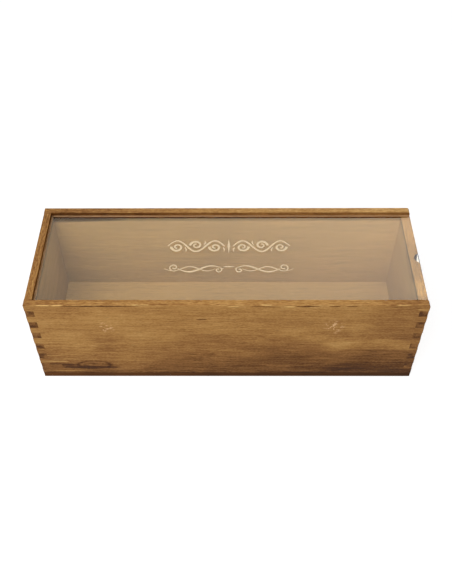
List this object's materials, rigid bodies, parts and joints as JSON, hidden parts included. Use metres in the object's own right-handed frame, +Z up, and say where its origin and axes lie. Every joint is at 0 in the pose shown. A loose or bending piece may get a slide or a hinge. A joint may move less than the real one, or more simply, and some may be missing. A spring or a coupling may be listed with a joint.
{
  "type": "wooden wine box",
  "caption": "Long finger-jointed wooden box for one bottle laid flat, with a clear lid that slides out of its grooves at one end.",
  "frame": {"origin": "centre of the underside of the bottom panel", "axes": "+X along the box towards the end where the lid slides out, +Y from the front board to the back board, +Z up"},
  "size_m": [0.35, 0.122, 0.106],
  "materials": {
    "stained_wood": "brown stain, satin, fine grain along the boards",
    "bottom_wood": "dark reddish-brown stain, matt",
    "brad_steel": "bright wire, slightly dull",
    "clear_lid": "clear cast acrylic, polished faces, frosted engraving"
  },
  "bodies": {
    "case": {"bottom_panel": "bottom_wood", "front_board": "stained_wood", "back_board": "stained_wood", "left_end_board": "stained_wood", "right_end_board": "stained_wood", "bottom_brads": "brad_steel"},
    "lid": {"sliding_lid": "clear_lid"}
  },
  "joints": [
    {"name": "lid_slide", "type": "slide", "parent": "case", "child": "lid", "axis": [1, 0, 0], "range_m": [0, 0.35]}
  ]
}
